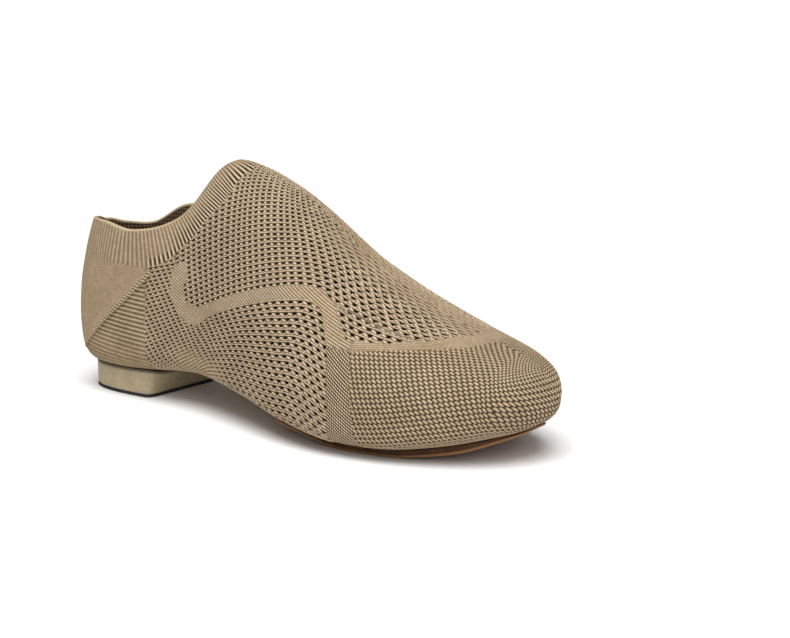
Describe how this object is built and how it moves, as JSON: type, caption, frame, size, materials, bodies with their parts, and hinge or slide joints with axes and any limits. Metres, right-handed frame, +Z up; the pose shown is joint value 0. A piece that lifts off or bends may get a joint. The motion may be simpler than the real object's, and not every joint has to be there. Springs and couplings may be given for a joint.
{
  "type": "jazz shoe",
  "caption": "Slip-on jazz shoe with a one-piece tan knit upper, ribbed collar, brown suede forefoot sole and low leather heel with a thin black lift.",
  "frame": {"origin": "middle of the heel lift's floor face, on the floor", "axes": "+X from the heel to the toe, +Y to the inner side of the foot, +Z up from the floor"},
  "size_m": [0.2519, 0.0862, 0.1101],
  "materials": {
    "tan_knit": "matte",
    "dark_lining": "matte",
    "brown_suede": "matte",
    "heel_leather": "matte",
    "black_rubber": "matte"
  },
  "bodies": {
    "root": {"upper": "tan_knit", "insole": "dark_lining", "forefoot_sole": "brown_suede", "heel_block": "heel_leather", "heel_lift": "black_rubber"}
  },
  "joints": []
}
